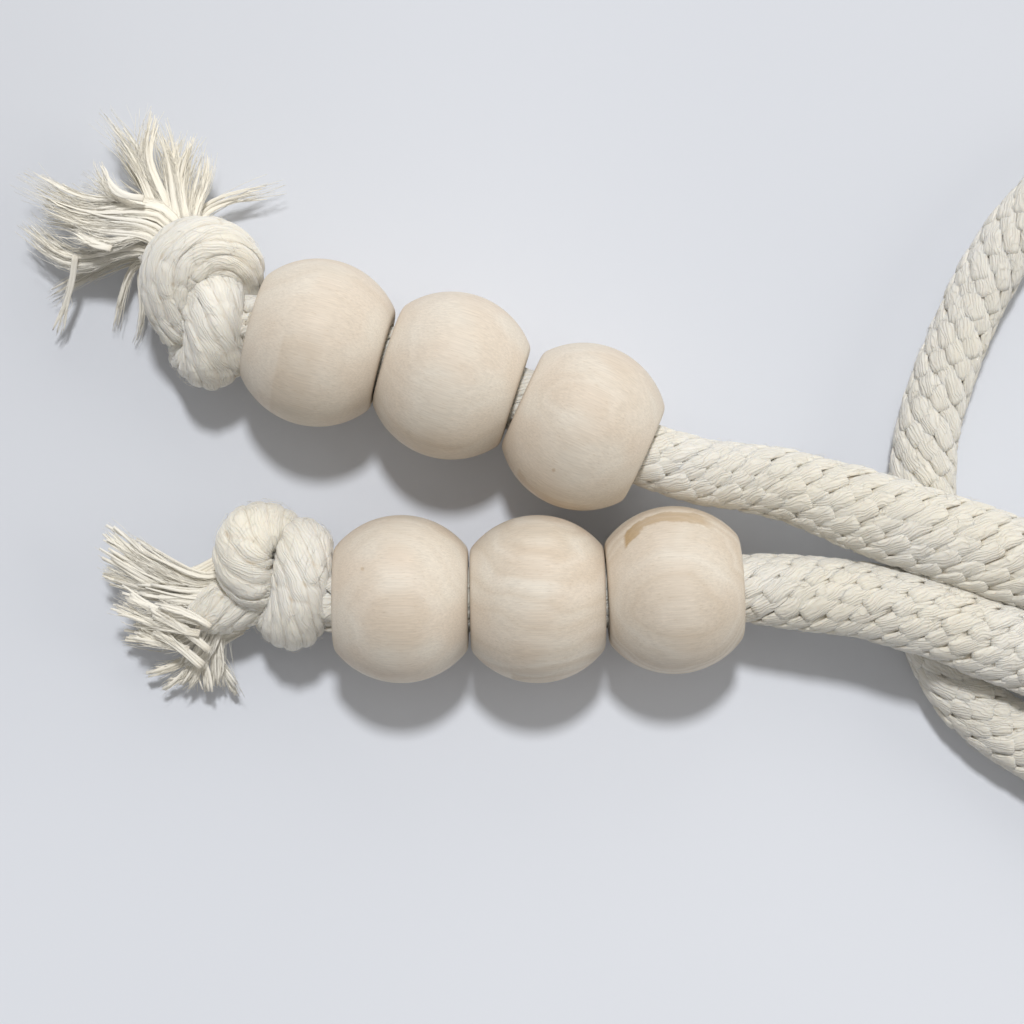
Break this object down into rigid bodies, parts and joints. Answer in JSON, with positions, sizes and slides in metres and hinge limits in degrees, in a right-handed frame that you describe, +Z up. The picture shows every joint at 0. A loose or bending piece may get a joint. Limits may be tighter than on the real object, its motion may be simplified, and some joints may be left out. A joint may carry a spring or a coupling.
{
  "type": "beaded rope curtain tieback with tassel ends",
  "caption": "Braided cotton curtain tieback rope with wooden beads, knots and frayed tassel ends, lying in two open loops.",
  "frame": {"origin": "on the surface that the part lies on, below the middle of the part's box", "axes": "+X runs along the strands from the tufts to the loops, +Z is up from the surface"},
  "size_m": [0.2426, 0.1452, 0.0248],
  "materials": {
    "cotton_rope": "braided natural cotton, matte",
    "cotton_yarn": "loose natural cotton yarn, matte",
    "wood": "bare sanded pale wood, matte"
  },
  "bodies": {
    "root": {"rope": "cotton_rope", "bead_a1": "wood", "bead_a2": "wood", "bead_a3": "wood", "bead_b1": "wood", "bead_b2": "wood", "bead_b3": "wood", "tassel_a": "cotton_yarn", "tassel_b": "cotton_yarn"}
  },
  "joints": []
}
